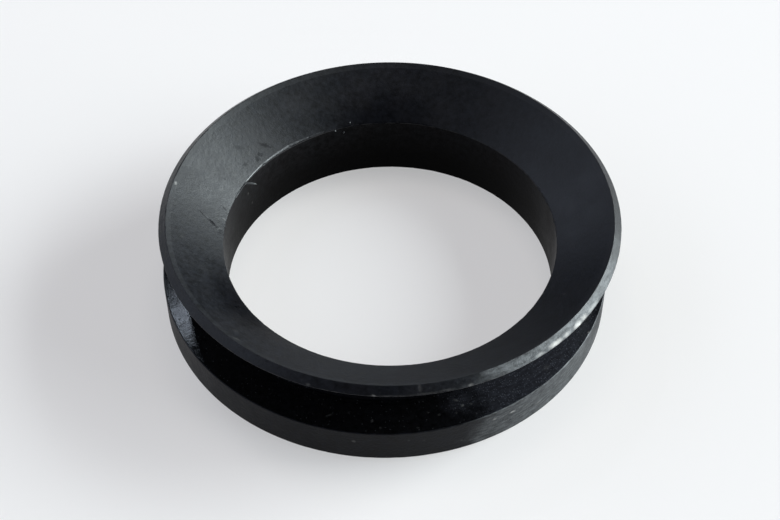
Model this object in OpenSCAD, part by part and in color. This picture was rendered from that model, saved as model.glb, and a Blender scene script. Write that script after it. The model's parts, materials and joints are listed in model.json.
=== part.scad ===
// Axial shaft seal with a V-shaped section, moulded in one piece of rubber.
// The body grips a turning shaft and the flaring lip rides on a wall in front of it.
// It lies on its back face at z = 0, with the shaft's axis on Z and the lip upwards.

/* [Bore] */
// Diameter of the bore before it is stretched over its shaft
bore_d = 22; // [16:0.5:60]
// Length of the bore, from the back face to its front edge
bore_len = 4.4; // [3.6:0.1:6]

/* [Body] */
// Rubber between the bore and the outside of the body, where the mould halves line up
body_wall = 3.82; // [3.2:0.02:5]
// Height of the straight band around the outside of the body
band_h = 2.45; // [1.6:0.05:3.4]
// Sideways slip between the mould half of the body and that of the bore and lip
mould_slip = 0.33; // [0:0.01:0.6]

/* [Groove] */
// Rubber left between the bore and the bottom of the groove, which the lip bends about
hinge_wall = 1.3; // [1.1:0.05:1.8]
// Height of the wall at the bottom of the groove
groove_bottom_h = 1.3; // [0.9:0.05:1.5]

/* [Lip] */
// Reach of the lip's outermost edge beyond the bore
lip_reach = 4.05; // [3.4:0.05:5.2]
// Rise of the lip's top edge above the front edge of the bore
lip_rise = 2.55; // [1.8:0.05:3.2]
// Thickness of the lip where it leaves the hinge
lip_t = 0.95; // [0.8:0.05:1.2]
// Width of the trimmed face around the lip's tip, measured along the radius
trim_run = 0.5; // [0.3:0.05:0.8]
// Height of the trimmed face around the lip's tip
trim_drop = 0.45; // [0.3:0.05:0.7]

/* [Edges] */
// Radius where the groove's floor meets its bottom
root_round = 0.45; // [0.2:0.05:0.6]
// Radius of the body's outer edges and of the bore's back edge
body_round = 0.15; // [0.05:0.01:0.25]
// Radius of the bore's front edge
front_round = 0.12; // [0.05:0.01:0.25]
// Radius of the two edges of the trimmed face
trim_round = 0.03; // [0.02:0.01:0.1]

/* [Hidden] */
$fn = 128;

// How far a cut runs out past the back face
cut_over = 1;
// Straight pieces that a rounded edge is made of
arc_steps = 4;

bore_r = bore_d / 2;
body_r = bore_r + body_wall;
hinge_r = bore_r + hinge_wall;
lip_r = bore_r + lip_reach;
lip_top = bore_len + lip_rise;
trim_r = lip_r - trim_run;

// The front cone runs from the bore's front edge to the inner edge of the trimmed face
front_slope = lip_rise / (trim_r - bore_r);
lip_depth = lip_t / cos(atan(front_slope));
under_hinge = front(hinge_r) - lip_depth;
under_slope = (lip_top - trim_drop - under_hinge) / (lip_r - hinge_r);

// The lip's core and the body overlap inside the thinnest part of the hinge
thinnest_hinge = hinge_wall - mould_slip;
core_r = bore_r + thinnest_hinge * 2 / 3;
seam_r = bore_r + thinnest_hinge / 3;

// Heights of the lip's front and underside, and of the middle between them, at a radius
function front(r) = bore_len + front_slope * (r - bore_r);
function under(r) = under_hinge + under_slope * (r - hinge_r);
function middle(r) = (front(r) + under(r)) / 2;

function unit(v) = v / norm(v);
function turned(v, angle) = [v.x * cos(angle) - v.y * sin(angle), v.x * sin(angle) + v.y * cos(angle)];

// Points of an arc of radius r that touches both sides of the corner b of a path a, b, c
function corner(a, b, c, r) =
    let (to_a = unit(a - b),
         to_c = unit(c - b),
         half = acos(to_a * to_c) / 2,
         centre = b + unit(to_a + to_c) * r / sin(half),
         first = b + to_a * r / tan(half) - centre,
         sweep = (180 - 2 * half) * sign(cross(b - a, c - b)))
    [for (i = [0 : arc_steps]) centre + turned(first, sweep * i / arc_steps)];

function place(point) = [point.x, point.y];

// Outline of corners [radius from the axis, height, rounding], where 0 leaves a corner sharp
function rounded(outline) =
    let (n = len(outline))
    [for (i = [0 : n - 1])
        let (here = place(outline[i]))
        each outline[i].z == 0
            ? [here]
            : corner(place(outline[(i + n - 1) % n]), here, place(outline[(i + 1) % n]), outline[i].z)];

// Bore, front cone, trimmed tip and underside of the lip, with the core that carries them
module lip() {
    rotate_extrude()
        polygon(rounded([
            [bore_r, 0, body_round],
            [core_r, 0, 0],
            [core_r, under(core_r), 0],
            [lip_r, under(lip_r), trim_round],
            [trim_r, lip_top, trim_round],
            [bore_r, bore_len, front_round]]));
}

// Back, outside band and groove floor, from the other mould half
module body() {
    difference() {
        translate([-mould_slip, 0, 0])
            rotate_extrude()
                polygon(rounded([
                    [bore_r - mould_slip, 0, 0],
                    [body_r, 0, body_round],
                    [body_r, band_h, body_round],
                    [hinge_r, under_hinge - groove_bottom_h, root_round],
                    [hinge_r, middle(hinge_r), 0],
                    [bore_r - mould_slip, middle(bore_r - mould_slip), 0]]));
        translate([0, 0, -cut_over])
            cylinder(r = seam_r, h = lip_top + cut_over);
    }
}

module v_ring() {
    color("#2b2c2e")
        union() {
            lip();
            body();
        }
}

v_ring();
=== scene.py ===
"""Looks of a rubber V-ring shaft seal that lies on its back face, with its lip upwards."""

import json
import math

import bmesh
import bpy
from mathutils import Euler, Matrix, Vector, noise


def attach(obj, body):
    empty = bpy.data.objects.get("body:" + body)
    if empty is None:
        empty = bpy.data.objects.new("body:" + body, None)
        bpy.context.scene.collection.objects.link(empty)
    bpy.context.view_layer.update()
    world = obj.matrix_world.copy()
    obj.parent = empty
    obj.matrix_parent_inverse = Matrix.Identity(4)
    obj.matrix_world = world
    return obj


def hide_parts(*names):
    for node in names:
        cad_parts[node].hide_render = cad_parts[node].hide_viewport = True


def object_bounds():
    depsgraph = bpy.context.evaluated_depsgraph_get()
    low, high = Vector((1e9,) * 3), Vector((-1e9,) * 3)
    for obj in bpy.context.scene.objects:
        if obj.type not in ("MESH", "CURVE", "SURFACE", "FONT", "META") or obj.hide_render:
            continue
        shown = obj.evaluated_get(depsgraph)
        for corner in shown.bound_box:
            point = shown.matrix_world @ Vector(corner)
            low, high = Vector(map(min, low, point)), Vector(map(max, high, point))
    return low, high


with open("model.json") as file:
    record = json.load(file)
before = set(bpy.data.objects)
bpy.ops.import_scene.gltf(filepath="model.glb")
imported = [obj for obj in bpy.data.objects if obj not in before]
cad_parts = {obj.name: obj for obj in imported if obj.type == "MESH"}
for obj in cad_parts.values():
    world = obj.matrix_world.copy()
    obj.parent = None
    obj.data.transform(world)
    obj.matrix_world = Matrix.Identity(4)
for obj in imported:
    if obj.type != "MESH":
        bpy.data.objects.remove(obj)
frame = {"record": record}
CAD_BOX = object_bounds()

# Sizes of the section, in metres
MM = 0.001
BORE_R = next(m for m in frame["record"]["mounts"] if m["name"] == "bore")["dims"]["r_mm"] * MM
BORE_LEN = 4.4 * MM
BODY_WALL = 3.82 * MM
BAND_H = 2.45 * MM
MOULD_SLIP = 0.33 * MM
HINGE_WALL = 1.3 * MM
GROOVE_BOTTOM_H = 1.3 * MM
LIP_REACH = 4.05 * MM
LIP_RISE = 2.55 * MM
LIP_T = 0.95 * MM
TRIM_RUN = 0.5 * MM
TRIM_DROP = 0.45 * MM
ROOT_ROUND = 0.45 * MM
UNDER_ROUND = 0.2 * MM
BACK_ROUND = 0.04 * MM
RIM_ROUND = 0.06 * MM
FRONT_ROUND = 0.12 * MM
TRIM_ROUND = 0.03 * MM

BODY_R = BORE_R + BODY_WALL
HINGE_R = BORE_R + HINGE_WALL
LIP_R = BORE_R + LIP_REACH
LIP_TOP = BORE_LEN + LIP_RISE
TRIM_R = LIP_R - TRIM_RUN
FRONT_SLOPE = LIP_RISE / (TRIM_R - BORE_R)
LIP_DEPTH = LIP_T * math.hypot(1, FRONT_SLOPE)
UNDER_HINGE = BORE_LEN + FRONT_SLOPE * HINGE_WALL - LIP_DEPTH
UNDER_SLOPE = (LIP_TOP - TRIM_DROP - UNDER_HINGE) / (LIP_R - HINGE_R)

# Fineness of the mesh
AROUND = 960
ARC_STEPS = 4
SUPPORT = 0.04 * MM

# How deep the edges are nibbled, and how often on a turn around the ring
MOULDED_NIBBLE = 0.02 * MM
TRIMMED_NIBBLE = 0.025 * MM
FRONT_NIBBLE = 0.06 * MM
COARSE_NIBBLES = 9
FINE_NIBBLES = 32

# Cosines of the angle from +X beyond which the body's upper edge shines like the lip's trimmed face
SHINY_RIM_LEFT = -0.83
SHINY_RIM_RIGHT = 0.30

# The polished stretch of the bore's front edge, and the flap of flash that hangs where it ends.
# Angles are in degrees from the front of the ring, to the right.
TEAR_ANGLE = -116.6
POLISHED_END = -160.0
POLISHED_ROUND = 0.30 * MM
POLISHED_SKEW = 1.2
TEAR_DEPTH = 0.13 * MM
TEAR_FADE = 9.0
FLAP_LENGTH = 0.82 * MM
FLAP_WIDTH = 0.20 * MM
FLAP_T = 0.11 * MM
FLAP_ARCH = 0.09 * MM
FLAP_BURIED = 0.10 * MM
FLAP_BELOW_EDGE = 0.16 * MM
FLAP_TIP = 0.02

# How lumpy a crumb is, and how large its lumps are for its size
CRUMB_LUMPS = 0.35
CRUMB_LUMP_SIZE = 0.4

# Camera, fitted to the ring's edges in the 780 x 520 photograph
CAMERA_ELEVATION = math.radians(48.24)
CAMERA_DISTANCE = 106.9 * MM
CAMERA_AIM_Z = 1.97 * MM
CAMERA_ROLL = math.radians(-0.12)
CAMERA_LENS = 72.27
CAMERA_SENSOR = 36

# Studio
LAMP_DISTANCE = 1.0
FLOOR_SIZE = 6.0
FLOOR_GAP = 0.02 * MM
FLOOR_LIFT = 0.4
PAPER = (0.84, 0.80, 0.78, 1)
SURROUNDINGS = (0.041, 0.044, 0.061, 1)

# Radius of the circle on which marks are measured around the ring
UNROLL_R = 13 * MM

# The film of dust on one side, which also paints the light on that side, in degrees from the front:
# how soon it is full after its start, where it thins out and ends, and how far its ends stray
FILM_FADE_IN = 13
FILM_FULL_TO = 52
FILM_ENDS = 87
FILM_RAGGED = 34

# Specks of dust: the distance between places in mm, the share of places that hold one, and its size in mm
FINE_SPECKS = (0.13, 0.7, 0.11)
SINGLE_SPECKS = (0.26, 0.35, 0.15)

# How much a speck of dust roughens its place, for its strength
DUST_DULLS = 9

# A mark is full within one share of its oval's radius, and fades out at another
MARK_FULL = 0.3
MARK_ENDS = 1.4

# How far the outlines of marks and of smudges are warped, by lumps of a fineness per metre
MARK_WARP = 0.12 * MM
SMUDGE_WARP = 0.45 * MM
WARP_LUMPS = 6500
SCRATCH_DEPTH = 0.02 * MM

# Fineness per metre of the rubber's patches and mottle, and of the streaks around and across a face
PATCHES = 450
MOTTLE = 2600
STREAKS = (1800, 6000, 1)

# The stretch of cloudy noise that is used, and how dark and pale the mottle makes the black
NOISE_LOW = 0.3
NOISE_HIGH = 0.7
MOTTLE_DARK = 0.3
MOTTLE_PALE = 1.7

# How much mottle and patches change the roughness
MOTTLE_ROUGHENS = 0.16
PATCHES_ROUGHEN = 0.2

# Height above which the bore's colour turns paler towards its top: painted light above, painted shade below
PALER_FROM = BORE_LEN / 3

# Colours, and the tints between which the black varies
COOL = (0.85, 1.05, 1.15)
WARM = (1.15, 0.95, 0.95)
DUST = (0.50, 0.52, 0.53, 1)
BLUE_DUST = (0.50, 0.52, 0.64, 1)
PALE = (0.70, 0.67, 0.63, 1)


# Section of the ring

def slipped(radius, angle):
    """Distance from the bore's axis to a circle of the body, which is slipped towards -X."""
    across = MOULD_SLIP * math.sin(angle)
    return math.sqrt(radius * radius - across * across) - MOULD_SLIP * math.cos(angle)


def corners(angle):
    """Corners as (radius, height, rounding, depth of nibbles, face, and the next side's face and steps)."""
    body_r = slipped(BODY_R, angle)
    hinge_r = slipped(HINGE_R, angle)
    under_hinge = UNDER_HINGE + UNDER_SLOPE * (hinge_r - HINGE_R)
    polished = polish(from_front(angle))
    front_round = FRONT_ROUND + (POLISHED_ROUND - FRONT_ROUND) * polished
    front_face = "edge" if polished else "cone"
    rim_face = "band" if SHINY_RIM_LEFT < math.cos(angle) < SHINY_RIM_RIGHT else "trim"
    return [
        (BORE_R, 0, BACK_ROUND, MOULDED_NIBBLE, "back", "back", 2),
        (body_r, 0, BACK_ROUND, MOULDED_NIBBLE, "band", "band", 6),
        (body_r, BAND_H, RIM_ROUND, MOULDED_NIBBLE, rim_face, "groove", 6),
        (hinge_r, UNDER_HINGE - GROOVE_BOTTOM_H, ROOT_ROUND, 0, "groove", "wall", 1),
        (hinge_r, under_hinge, UNDER_ROUND, 0, "wall", "wall", 6),
        (LIP_R, LIP_TOP - TRIM_DROP, TRIM_ROUND, TRIMMED_NIBBLE, "trim", "trim", 6),
        (TRIM_R, LIP_TOP, TRIM_ROUND, TRIMMED_NIBBLE, "margin", "cone", 12),
        (BORE_R, BORE_LEN, front_round, FRONT_NIBBLE, front_face, "bore", 6),
    ]


def from_front(angle):
    """Degrees from the front of the ring, to the right, of an angle that starts at +X."""
    return (math.degrees(angle) + 270) % 360 - 180


def nibble(angle, edge):
    """How much of its full depth an edge is nibbled at an angle."""
    turn = Vector((math.cos(angle), math.sin(angle), 0))
    coarse = noise.noise(turn * COARSE_NIBBLES + Vector((0, 0, 10 * edge)))
    fine = noise.noise(turn * FINE_NIBBLES + Vector((0, 0, 10 * edge + 5)))
    return min(max(coarse + fine, 0), 1)


def polish(around):
    """How far the bore's front edge is polished, from 0 to 1, at degrees from the front."""
    if around > TEAR_ANGLE or around < POLISHED_END:
        return 0
    share = (TEAR_ANGLE - around) / (TEAR_ANGLE - POLISHED_END)
    return math.sin(math.pi * share ** POLISHED_SKEW)


def torn(around):
    """How deep the bore's front edge is torn away beside the flap, at degrees from the front."""
    return TEAR_DEPTH * max(1 - (around - TEAR_ANGLE) / TEAR_FADE, 0) if around > TEAR_ANGLE else 0


def corner_arc(before, corner, after, radius):
    """Points of an arc that touches both sides of a corner, and the direction into the rubber."""
    to_before = (before - corner).normalized()
    to_after = (after - corner).normalized()
    half = to_before.angle(to_after) / 2
    inward = (to_before + to_after).normalized()
    centre = corner + inward * radius / math.sin(half)
    first = corner + to_before * radius / math.tan(half) - centre
    turn = math.pi - 2 * half
    way = corner - before
    if way.x * (after - corner).y < way.y * (after - corner).x:
        turn = -turn
    return [centre + Matrix.Rotation(turn * i / ARC_STEPS, 2) @ first for i in range(ARC_STEPS + 1)], inward


def section(angle):
    """Points of the section at an angle around the ring, and the face that each stretch belongs to."""
    outline = corners(angle)
    count = len(outline)
    places = [Vector(c[:2]) for c in outline]
    arcs = [
        corner_arc(places[i - 1], places[i], places[(i + 1) % count], outline[i][2])
        for i in range(count)
    ]
    points = []
    faces = []
    for i in range(count):
        arc, inward = arcs[i]
        depth, edge_face, side_face, steps = outline[i][3:]
        worn = depth * nibble(angle, i)
        if i == count - 1:
            worn += torn(from_front(angle))
        points += [arc[k] + inward * worn * math.sin(math.pi * k / ARC_STEPS) for k in range(ARC_STEPS + 1)]
        faces += [edge_face] * ARC_STEPS
        start = arc[-1]
        end = arcs[(i + 1) % count][0][0]
        inset = min(SUPPORT / (end - start).length, 0.25)
        shares = [inset + (1 - 2 * inset) * k / steps for k in range(steps + 1)]
        points += [start.lerp(end, share) for share in shares]
        faces += ["margin" if side_face == "cone" else side_face] * 2 + [side_face] * steps
    return points, faces


FACES = ["bore", "back", "band", "groove", "wall", "trim", "margin", "cone", "edge"]


def ring_mesh():
    """The whole ring as one closed mesh, with a material slot for each face of the section."""
    vertices = []
    slots = []
    for j in range(AROUND):
        angle = 2 * math.pi * j / AROUND
        points, faces = section(angle)
        for point in points:
            vertices.append((point.x * math.cos(angle), point.x * math.sin(angle), point.y))
        slots += [FACES.index(face) for face in faces]
    count = len(faces)
    quads = []
    for j in range(AROUND):
        here = j * count
        there = (j + 1) % AROUND * count
        for k in range(count):
            after = (k + 1) % count
            quads.append((here + k, there + k, there + after, here + after))
    mesh = bpy.data.meshes.new("v_ring_rubber")
    mesh.from_pydata(vertices, [], quads)
    mesh.polygons.foreach_set("material_index", slots)
    mesh.shade_smooth()
    mesh.update()
    return mesh


# Flash left by the mould

def on_ring(around, radius, height):
    """A point at an angle in degrees from the front."""
    turn = math.radians(around)
    return Vector((radius * math.sin(turn), -radius * math.cos(turn), height))


def add_flap(mesh):
    """A thin tapering flap that grows out of the torn place and arches into the bore."""
    root = on_ring(TEAR_ANGLE, BORE_R + FLAP_BURIED, BORE_LEN - FLAP_BELOW_EDGE)
    stations = 10
    sides = 8
    rings = []
    for i in range(stations + 1):
        share = i / stations
        taper = math.sqrt(max(1 - share ** 3, FLAP_TIP))
        middle = root + Vector((FLAP_LENGTH * share, 0, FLAP_ARCH * math.sin(math.pi * share)))
        ring_points = []
        for k in range(sides):
            turn = 2 * math.pi * k / sides
            offset = Vector((0, FLAP_WIDTH / 2 * math.cos(turn), FLAP_T / 2 * math.sin(turn))) * taper
            ring_points.append(mesh.verts.new(middle + offset))
        rings.append(ring_points)
    for here, there in zip(rings, rings[1:]):
        for k in range(sides):
            after = (k + 1) % sides
            mesh.faces.new((here[k], there[k], there[after], here[after]))
    mesh.faces.new(rings[0])
    mesh.faces.new(rings[-1][::-1])


CRUMBS = [
    # (degrees from the front, radius, height, size), in millimetres
    (-159.4, 10.98, 4.27, 0.15),
    (-162.7, 10.99, 3.93, 0.14),
    (-165.4, 11.20, 4.54, 0.13),
]


def add_crumb(mesh, centre, size):
    """A lumpy crumb that sits half sunk in the surface."""
    made = bmesh.ops.create_icosphere(mesh, subdivisions=2, radius=size / 2)
    for vertex in made["verts"]:
        lump = 1 + CRUMB_LUMPS * noise.noise(vertex.co / (CRUMB_LUMP_SIZE * size) + centre / MM)
        vertex.co = centre + vertex.co * lump


def flash_mesh():
    """The flap and the crumbs as one mesh."""
    mesh = bmesh.new()
    add_flap(mesh)
    for around, radius, height, size in CRUMBS:
        add_crumb(mesh, on_ring(around, radius * MM, height * MM), size * MM)
    bmesh.ops.recalc_face_normals(mesh, faces=mesh.faces)
    data = bpy.data.meshes.new("flash_crumbs")
    mesh.to_mesh(data)
    mesh.free()
    data.shade_smooth()
    return data


# Materials

def add(tree, kind, inputs=None, **settings):
    """A node with its settings, and with its inputs set or linked."""
    made = tree.nodes.new("ShaderNode" + kind)
    for name, value in settings.items():
        setattr(made, name, value)
    for name, value in (inputs or {}).items():
        if isinstance(value, bpy.types.NodeSocket):
            tree.links.new(value, made.inputs[name])
        else:
            made.inputs[name].default_value = value
    return made


def math_node(tree, operation, first, second=0.0):
    return add(tree, "Math", {0: first, 1: second}, operation=operation).outputs[0]


def blended(tree, mask, under, over):
    """A colour that turns from one into another where a mask is 1."""
    return add(tree, "Mix", {0: mask, 6: under, 7: over}, data_type="RGBA").outputs[2]


def tinted(colour, tint):
    return [part * share for part, share in zip(colour, tint)] + [1]


def clouds(tree, place, scale, detail):
    """Cloudy noise between 0 and 1."""
    noisy = add(tree, "TexNoise", {"Vector": place, "Scale": scale, "Detail": detail, "Roughness": 0.6})
    return noisy.outputs["Fac"]


def unrolled(tree, place, across):
    """The surface laid flat: the way around the ring from its front, and along the radius or the height."""
    parts = add(tree, "SeparateXYZ", {0: place}).outputs
    level = add(tree, "VectorMath", {0: place, 1: (1, 1, 0)}, operation="MULTIPLY").outputs[0]
    radius = add(tree, "VectorMath", {0: level}, operation="LENGTH").outputs["Value"]
    forward = math_node(tree, "MULTIPLY", parts["Y"], -1)
    turn = math_node(tree, "ARCTAN2", parts["X"], forward)
    around = math_node(tree, "MULTIPLY", turn, UNROLL_R)
    side = radius if across == "radius" else parts["Z"]
    return add(tree, "CombineXYZ", {"X": around, "Y": side}).outputs[0]


def on_sheet(around):
    """The way around the flat surface of an angle in degrees from the front."""
    return math.radians(around) * UNROLL_R


def uneven(tree, sheet, place, warp):
    """The flat surface, warped so that marks on it have uneven outlines."""
    lumps = add(tree, "TexNoise", {"Vector": place, "Scale": WARP_LUMPS, "Detail": 2}).outputs["Color"]
    centred = add(tree, "VectorMath", {0: lumps, 1: (0.5, 0.5, 0.5)}, operation="SUBTRACT").outputs[0]
    shift = add(tree, "VectorMath", {0: centred, 1: (warp, warp, 0)}, operation="MULTIPLY").outputs[0]
    return add(tree, "VectorMath", {0: sheet, 1: shift}, operation="ADD").outputs[0]


def marks(tree, sheet, rows):
    """A mask of single oval marks: (degrees from the front, mm across, mm long, mm wide, tilt, strength)."""
    mask = None
    for around, across, length, width, tilt, strength in rows:
        oval = add(tree, "Mapping", {
            "Vector": sheet,
            "Location": (on_sheet(around), across * MM, 0),
            "Rotation": (0, 0, math.radians(tilt)),
            "Scale": (length / 2 * MM, width / 2 * MM, 1),
        }, vector_type="TEXTURE").outputs[0]
        reach = add(tree, "VectorMath", {0: oval}, operation="LENGTH").outputs["Value"]
        mark = add(tree, "MapRange", {
            "Value": reach, "From Min": MARK_ENDS, "From Max": MARK_FULL, "To Max": strength,
        }).outputs["Result"]
        mask = mark if mask is None else math_node(tree, "MAXIMUM", mask, mark)
    return mask


def specks(tree, sheet, spacing, share, size):
    """A mask of fine dust. A share of the cells, spaced in mm, hold a speck of up to a size in mm."""
    cells = add(tree, "TexVoronoi", {"Vector": sheet, "Scale": 1 / (spacing * MM)}, voronoi_dimensions="2D")
    chance = add(tree, "SeparateColor", {0: cells.outputs["Color"]}).outputs[0]
    limit = add(tree, "MapRange", {
        "Value": chance, "From Min": 1 - share, "To Max": size / 2 / spacing,
    }).outputs["Result"]
    return add(tree, "MapRange", {
        "Value": cells.outputs["Distance"], "From Min": limit, "From Max": 0,
    }).outputs["Result"]


def dust_and_light_side(tree, sheet, starts, patches):
    """A mask with ragged ends of the side that dust has settled on, which also paints that side's light,
    from some degrees past the front.
    """
    way = add(tree, "SeparateXYZ", {0: sheet}).outputs["X"]
    stray = math_node(tree, "MULTIPLY", math_node(tree, "SUBTRACT", patches, 0.5), on_sheet(FILM_RAGGED))
    ragged = math_node(tree, "ADD", way, stray)
    ends = []
    for none, full in ((starts, starts + FILM_FADE_IN), (FILM_ENDS, FILM_FULL_TO)):
        ends.append(add(tree, "MapRange", {
            "Value": ragged, "From Min": on_sheet(none), "From Max": on_sheet(full),
        }, interpolation_type="SMOOTHSTEP").outputs["Result"])
    return math_node(tree, "MULTIPLY", *ends)


def rubber(
        name, colour, roughness, specular, across, grain, grain_size=0.18, cut=0, streak=0.8,
        film=0, film_from=0, film_colour=DUST, dust=0, fine_dust=0, painted_light_rise=None,
        pale=(), dark=(), dull=(), painted_shade=(), worn=()):
    """Black rubber with mottle, grain, the streaks of a cut, a film of dust that also paints the light on
    one side, specks of dust, and marks.

    The last five are rows of marks: pale specks (on the trim also painted highlight lines along its lower
    edge), scratches, smudges, painted shade that is darker and smoother, worn places.
    """
    material = bpy.data.materials.new(name)
    material.use_nodes = True
    tree = material.node_tree
    shader = tree.nodes["Principled BSDF"]
    place = add(tree, "TexCoord").outputs["Object"]
    sheet = unrolled(tree, place, across)
    warped = uneven(tree, sheet, place, MARK_WARP)
    patches = clouds(tree, place, PATCHES, 2)
    mottle = clouds(tree, place, MOTTLE, 3)
    grains = clouds(tree, place, 1 / (grain_size * MM), 2)
    stretched = add(tree, "Mapping", {"Vector": sheet, "Scale": STREAKS}).outputs[0]
    streaks = clouds(tree, stretched, 1, 4)
    streaky = add(tree, "MapRange", {
        "Value": streaks, "From Min": NOISE_LOW, "From Max": NOISE_HIGH,
        "To Min": 1 - streak, "To Max": 1 + streak,
    }).outputs["Result"]

    # Colour
    tone = blended(tree, patches, tinted(colour, COOL), tinted(colour, WARM))
    depth = add(tree, "MapRange", {
        "Value": mottle, "From Min": NOISE_LOW, "From Max": NOISE_HIGH,
        "To Min": MOTTLE_DARK, "To Max": MOTTLE_PALE,
    }).outputs["Result"]
    # Painted light and shade: the bore's colour is darker low down and paler towards the top
    if painted_light_rise:
        height = add(tree, "SeparateXYZ", {0: place}).outputs["Z"]
        painted_paler = add(tree, "MapRange", {
            "Value": height, "From Min": PALER_FROM, "From Max": BORE_LEN,
            "To Min": painted_light_rise[0], "To Max": painted_light_rise[1],
        }).outputs["Result"]
        depth = math_node(tree, "MULTIPLY", depth, painted_paler)
    shade = add(tree, "VectorMath", {0: tone, "Scale": depth}, operation="SCALE").outputs[0]
    # The film is dust, and since it lies only on the side that the lamps light, it also paints that side's
    # light
    if film:
        side = dust_and_light_side(tree, sheet, film_from, patches)
        settled = math_node(tree, "MULTIPLY", side, film)
        shade = blended(tree, math_node(tree, "MULTIPLY", settled, streaky), shade, film_colour)
        settled = math_node(tree, "MULTIPLY", side, fine_dust)
        fine = specks(tree, warped, *FINE_SPECKS)
        shade = blended(tree, math_node(tree, "MULTIPLY", fine, settled), shade, film_colour)
    if dust:
        single = specks(tree, warped, *SINGLE_SPECKS)
        shade = blended(tree, math_node(tree, "MULTIPLY", single, dust), shade, DUST)
    if pale:
        shade = blended(tree, marks(tree, warped, pale), shade, PALE)
    # Painted shade: the colour is darkened inside these marks
    if painted_shade:
        unshaded = math_node(tree, "SUBTRACT", 1, marks(tree, warped, painted_shade))
        shade = add(tree, "VectorMath", {0: shade, "Scale": unshaded}, operation="SCALE").outputs[0]
    tree.links.new(shade, shader.inputs["Base Color"])

    # Roughness and bump
    fine_blotches = math_node(tree, "MULTIPLY", mottle, MOTTLE_ROUGHENS)
    wide_blotches = math_node(tree, "MULTIPLY", patches, PATCHES_ROUGHEN)
    blotches = math_node(tree, "ADD", fine_blotches, wide_blotches)
    rough = math_node(tree, "ADD", blotches, roughness - (MOTTLE_ROUGHENS + PATCHES_ROUGHEN) / 2)
    if dust:
        rough = math_node(tree, "ADD", rough, math_node(tree, "MULTIPLY", single, DUST_DULLS * dust))
    normal = add(tree, "Bump", {"Height": grains, "Distance": grain}).outputs["Normal"]
    if cut:
        normal = add(tree, "Bump", {"Height": streaks, "Distance": cut, "Normal": normal}).outputs["Normal"]
    if worn:
        rough = math_node(tree, "ADD", rough, marks(tree, sheet, worn))
    if dull:
        smudges = marks(tree, uneven(tree, sheet, place, SMUDGE_WARP), dull)
        rough = math_node(tree, "MAXIMUM", rough, smudges)
    if dark:
        scratch = marks(tree, warped, dark)
        rough = math_node(tree, "MAXIMUM", rough, scratch)
        normal = add(tree, "Bump", {
            "Height": scratch, "Distance": SCRATCH_DEPTH, "Normal": normal,
        }, invert=True).outputs["Normal"]
    # The painted shade's marks are also made smoother
    if painted_shade:
        rough = math_node(tree, "MULTIPLY", rough, unshaded)
    tree.links.new(rough, shader.inputs["Roughness"])
    tree.links.new(normal, shader.inputs["Normal"])
    shader.inputs["Specular IOR Level"].default_value = specular
    return material


def floor_material():
    """White paper that keeps the shadow, lifted towards white where it is seen or mirrored."""
    material = bpy.data.materials.new("floor_paper")
    material.use_nodes = True
    tree = material.node_tree
    shader = tree.nodes["Principled BSDF"]
    shader.inputs["Base Color"].default_value = PAPER
    shader.inputs["Roughness"].default_value = 1
    shader.inputs["Specular IOR Level"].default_value = 0
    rays = add(tree, "LightPath").outputs
    seen = math_node(tree, "MAXIMUM", rays["Is Camera Ray"], rays["Is Glossy Ray"])
    seen = math_node(tree, "MAXIMUM", seen, rays["Is Transmission Ray"])
    lift = math_node(tree, "MULTIPLY", seen, FLOOR_LIFT)
    white = add(tree, "Emission", {"Color": (1, 1, 1, 1), "Strength": 1}).outputs[0]
    mixed = add(tree, "MixShader", {0: lift, 1: shader.outputs[0], 2: white}).outputs[0]
    tree.links.new(mixed, tree.nodes["Material Output"].inputs["Surface"])
    return material


# Studio

def soft_box(name, azimuth, elevation, wide, high, radiance, colour):
    """A rectangular lamp in a direction from the ring, as wide and high as two angles, all in degrees."""
    data = bpy.data.lights.new(name, "AREA")
    data.shape = "RECTANGLE"
    data.size = 2 * LAMP_DISTANCE * math.tan(math.radians(wide / 2))
    data.size_y = 2 * LAMP_DISTANCE * math.tan(math.radians(high / 2))
    data.energy = radiance * math.pi * data.size * data.size_y
    data.color = colour
    across = math.cos(math.radians(elevation))
    direction = Vector((
        across * math.cos(math.radians(azimuth)),
        across * math.sin(math.radians(azimuth)),
        math.sin(math.radians(elevation)),
    ))
    lamp = bpy.data.objects.new(name, data)
    lamp.location = direction * LAMP_DISTANCE
    lamp.rotation_euler = direction.to_track_quat("Z", "Y").to_euler()
    lamp.visible_camera = False
    bpy.context.scene.collection.objects.link(lamp)


def studio():
    """Soft light from the right and the back, dim surroundings and a pale floor."""
    world = bpy.data.worlds.new("studio")
    world.use_nodes = True
    world.node_tree.nodes["Background"].inputs["Color"].default_value = SURROUNDINGS
    bpy.context.scene.world = world
    bpy.context.scene.view_settings.view_transform = "Standard"
    soft_box("window_right", 4, 20, 62, 34, 6.3, (0.90, 1.0, 1.03))
    soft_box("key_right", 18.5, 26, 34, 22, 12.3, (0.90, 1.0, 1.03))
    soft_box("window_back_left", 123.5, 49.2, 4, 2, 32, (0.85, 0.97, 1.15))
    soft_box("fill_left", 172, 30, 90, 40, 1.05, (0.86, 0.96, 1.16))
    soft_box("top_back", 90, 75, 30, 20, 2.6, (1.05, 1.0, 0.96))

    bpy.ops.mesh.primitive_plane_add(size=FLOOR_SIZE, location=(0, 0, CAD_BOX[0][2] - FLOOR_GAP))
    floor = bpy.context.object
    floor.name = "floor"
    floor.data.materials.append(floor_material())


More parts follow.
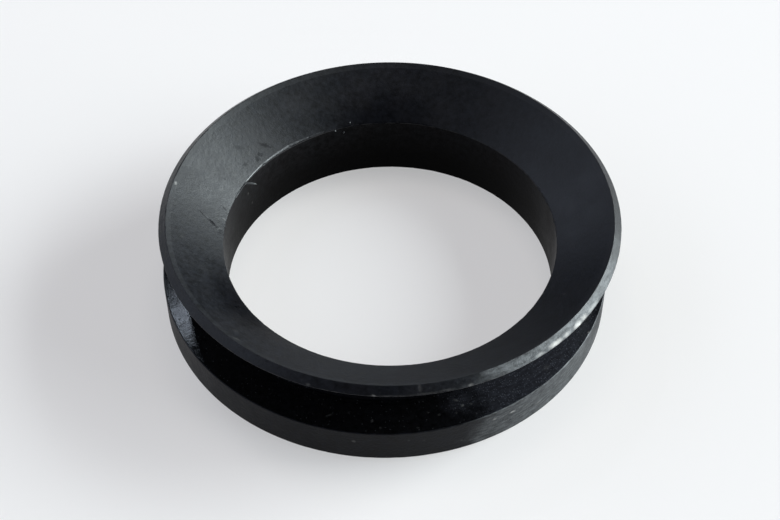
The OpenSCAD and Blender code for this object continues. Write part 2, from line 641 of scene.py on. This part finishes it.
def camera():
    """The camera of the photograph, aimed at a point on the ring's axis."""
    data = bpy.data.cameras.new("camera")
    data.lens = CAMERA_LENS
    data.sensor_width = CAMERA_SENSOR
    data.sensor_fit = "HORIZONTAL"
    data.clip_start = MM
    made = bpy.data.objects.new("camera", data)
    bpy.context.scene.collection.objects.link(made)
    place = CAMERA_DISTANCE * Vector((0, -math.cos(CAMERA_ELEVATION), math.sin(CAMERA_ELEVATION)))
    aim = Vector((0, 0, CAMERA_AIM_Z)) - place
    turn = aim.to_track_quat("-Z", "Y").to_matrix() @ Euler((0, 0, CAMERA_ROLL)).to_matrix()
    made.matrix_world = Matrix.Translation(place) @ turn.to_4x4()
    bpy.context.scene.camera = made


camera()
studio()

# Single marks on each face: (degrees from the front, mm across, mm long, mm wide, tilt, strength)
CONE_SPECKS = [
    (-100.0, 14.37, 0.26, 0.15, 0, 0.25),
    (-44.1, 13.57, 0.40, 0.22, 0, 0.015),
    (-40.7, 14.23, 0.50, 0.22, -15, 0.03),
    (60.4, 12.61, 0.16, 0.16, 0, 0.03),
    (-82.3, 13.52, 0.22, 0.22, 0, 0.02),
    (-97.2, 11.14, 0.18, 0.18, 0, 0.10),
]
CONE_SCRATCHES = [
    (-93.4, 11.79, 0.85, 0.22, -59, 1.0),
    (-94.8, 12.43, 0.80, 0.09, -58, 0.56),
    (-101.9, 11.38, 0.40, 0.12, -60, 0.58),
    (-91.5, 11.25, 0.50, 0.30, 20, 0.65),
]
CONE_SMUDGES = [
    (-133.1, 11.81, 2.00, 0.45, 39, 0.76),
    (-129.0, 11.58, 1.10, 0.50, 20, 0.69),
    (-127.2, 11.47, 0.80, 0.60, 0, 0.67),
    (-122.1, 11.73, 0.80, 0.50, 10, 0.62),
    (-125.0, 12.60, 1.60, 0.80, 40, 0.58),
    (-112.0, 12.10, 0.30, 0.24, 0, 0.62),
    (-107.5, 13.00, 0.25, 0.20, 0, 0.60),
]
# Painted shade: darker, smoother patches on the cone next to the bore
CONE_PAINTED_SHADE = [
    # The patch at the back is given twice, because the angles jump there
    (-176.0, 11.00, 8.40, 3.40, 0, 0.35),
    (184.0, 11.00, 8.40, 3.40, 0, 0.35),
    (-53.0, 11.40, 8.40, 2.60, 0, 0.4),
]
CONE_WORN = [
    (8.0, 12.60, 22.00, 14.00, 0, 0.27),
]
TRIM_SPECKS_AND_HIGHLIGHT_LINES = [
    (37.0, 6.58, 0.55, 0.15, 0, 0.3),
    (42.1, 6.60, 0.85, 0.19, 0, 0.75),
    (45.9, 6.60, 0.50, 0.17, 0, 0.45),
    (50.0, 6.58, 0.65, 0.21, 0, 0.75),
    (52.8, 6.60, 0.50, 0.19, 0, 0.5),
    (57.0, 6.60, 1.00, 0.14, 0, 0.25),
    (-3.7, 6.52, 0.24, 0.12, 0, 0.22),
    (-18.9, 6.57, 0.24, 0.10, 0, 0.07),
    (6.8, 6.82, 0.18, 0.36, 0, 0.04),
    # The next three rows are thin pale lines along the trim's lower edge: a painted edge highlight
    (0.5, 6.54, 1.90, 0.06, 0, 0.03),
    (8.2, 6.56, 1.30, 0.06, 0, 0.035),
    (12.8, 6.57, 0.80, 0.08, 0, 0.045),
    (18.5, 6.55, 0.28, 0.14, 0, 0.15),
]
GROOVE_SPECKS = [
    (61.9, 14.44, 0.18, 0.15, 0, 0.15),
    (45.2, 13.84, 0.50, 0.30, 0, 0.02),
    (-15.6, 13.96, 0.42, 0.14, -40, 0.035),
    (-4.6, 13.93, 0.15, 0.22, 0, 0.06),
    (12.5, 13.77, 0.18, 0.14, 0, 0.03),
    (19.2, 13.52, 0.17, 0.17, 0, 0.10),
    (18.1, 13.06, 0.35, 0.16, 30, 0.05),
    (-15.8, 13.42, 0.14, 0.12, 0, 0.02),
    (-10.8, 13.55, 0.16, 0.12, 0, 0.02),
    (-2.4, 14.37, 0.15, 0.13, 0, 0.025),
    (6.7, 14.44, 0.16, 0.12, 0, 0.02),
    (9.9, 13.51, 0.18, 0.12, 0, 0.02),
    (12.9, 14.72, 0.18, 0.10, 0, 0.03),
    (17.0, 13.87, 0.15, 0.12, 0, 0.025),
    (21.6, 13.57, 0.14, 0.12, 0, 0.04),
]
BAND_SPECKS = [
    (31.2, 1.68, 0.36, 0.15, 0, 0.4),
    (26.1, 1.80, 0.22, 0.18, 0, 0.18),
    (39.7, 0.96, 0.50, 0.20, 10, 0.08),
    (-8.7, 1.61, 0.22, 0.22, 0, 0.08),
    (4.4, 1.76, 0.16, 0.14, 0, 0.025),
    (8.0, 1.59, 0.16, 0.14, 0, 0.02),
    (17.4, 0.78, 0.16, 0.14, 0, 0.03),
    (19.7, 0.56, 0.18, 0.14, 0, 0.03),
]
BORE_SPECKS = [
    (-117.4, 3.26, 0.16, 0.20, 0, 0.06),
    (-119.4, 2.03, 0.16, 0.20, 0, 0.045),
]

BLACK = (0.0035, 0.0038, 0.0052)
DEEP_BLACK = (0.0022, 0.0022, 0.0025)
WARM_BLACK = (0.0027, 0.0026, 0.0027)
FLASH_GREY = (0.08, 0.08, 0.076)
MATERIALS = {
    # The bore's colour is painted darker low down and paler at the top, painted shade and light
    "bore": rubber(
        "rubber_bore", WARM_BLACK, 0.42, 0.03, "height", 1e-5,
        dust=0.008, painted_light_rise=(0.5, 2.9), pale=BORE_SPECKS),
    "back": rubber(
        "rubber_back", BLACK, 0.55, 0.3, "radius", 3e-5, dust=0.03),
    "band": rubber(
        "rubber_band", BLACK, 0.52, 0.14, "height", 2e-5, cut=1.2e-5, streak=0.75,
        film=0.12, film_from=17.5, dust=0.02, fine_dust=0.07, pale=BAND_SPECKS),
    "groove": rubber(
        "rubber_groove", DEEP_BLACK, 0.14, 0.28, "radius", 6e-6, grain_size=0.15, streak=0.5,
        film=0.025, film_from=15.5, film_colour=BLUE_DUST, dust=0.03, fine_dust=0.09, pale=GROOVE_SPECKS),
    "wall": rubber(
        "rubber_wall", DEEP_BLACK, 0.14, 0.28, "height", 6e-6, grain_size=0.15, streak=0.5,
        film=0.025, film_from=15.5, film_colour=BLUE_DUST, dust=0.03, fine_dust=0.09),
    "trim": rubber(
        "rubber_trim", BLACK, 0.42, 0.30, "height", 2e-5, cut=3e-5,
        film=0.165, film_from=14.5, dust=0.02, fine_dust=0.1, pale=TRIM_SPECKS_AND_HIGHLIGHT_LINES),
    "cone": rubber(
        "rubber_cone", BLACK, 0.45, 0.33, "radius", 1.3e-5, grain_size=0.3,
        dust=0.002, pale=CONE_SPECKS, dark=CONE_SCRATCHES, dull=CONE_SMUDGES,
        painted_shade=CONE_PAINTED_SHADE, worn=CONE_WORN),
    "margin": rubber(
        "rubber_margin", BLACK, 0.52, 0.40, "radius", 1.3e-5, grain_size=0.3,
        dust=0.002, pale=CONE_SPECKS, worn=CONE_WORN),
    "edge": rubber(
        "rubber_edge", BLACK, 0.35, 0.6, "radius", 1e-5),
}

ring = bpy.data.objects.new("v_ring_rubber", ring_mesh())
for face in FACES:
    ring.data.materials.append(MATERIALS[face])
bpy.context.scene.collection.objects.link(ring)
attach(ring, "root")
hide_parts("v_ring")

flash = bpy.data.objects.new("flash_crumbs", flash_mesh())
flash.data.materials.append(rubber("rubber_flash", FLASH_GREY, 0.5, 0.35, "radius", 3e-6))
bpy.context.scene.collection.objects.link(flash)
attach(flash, "root")
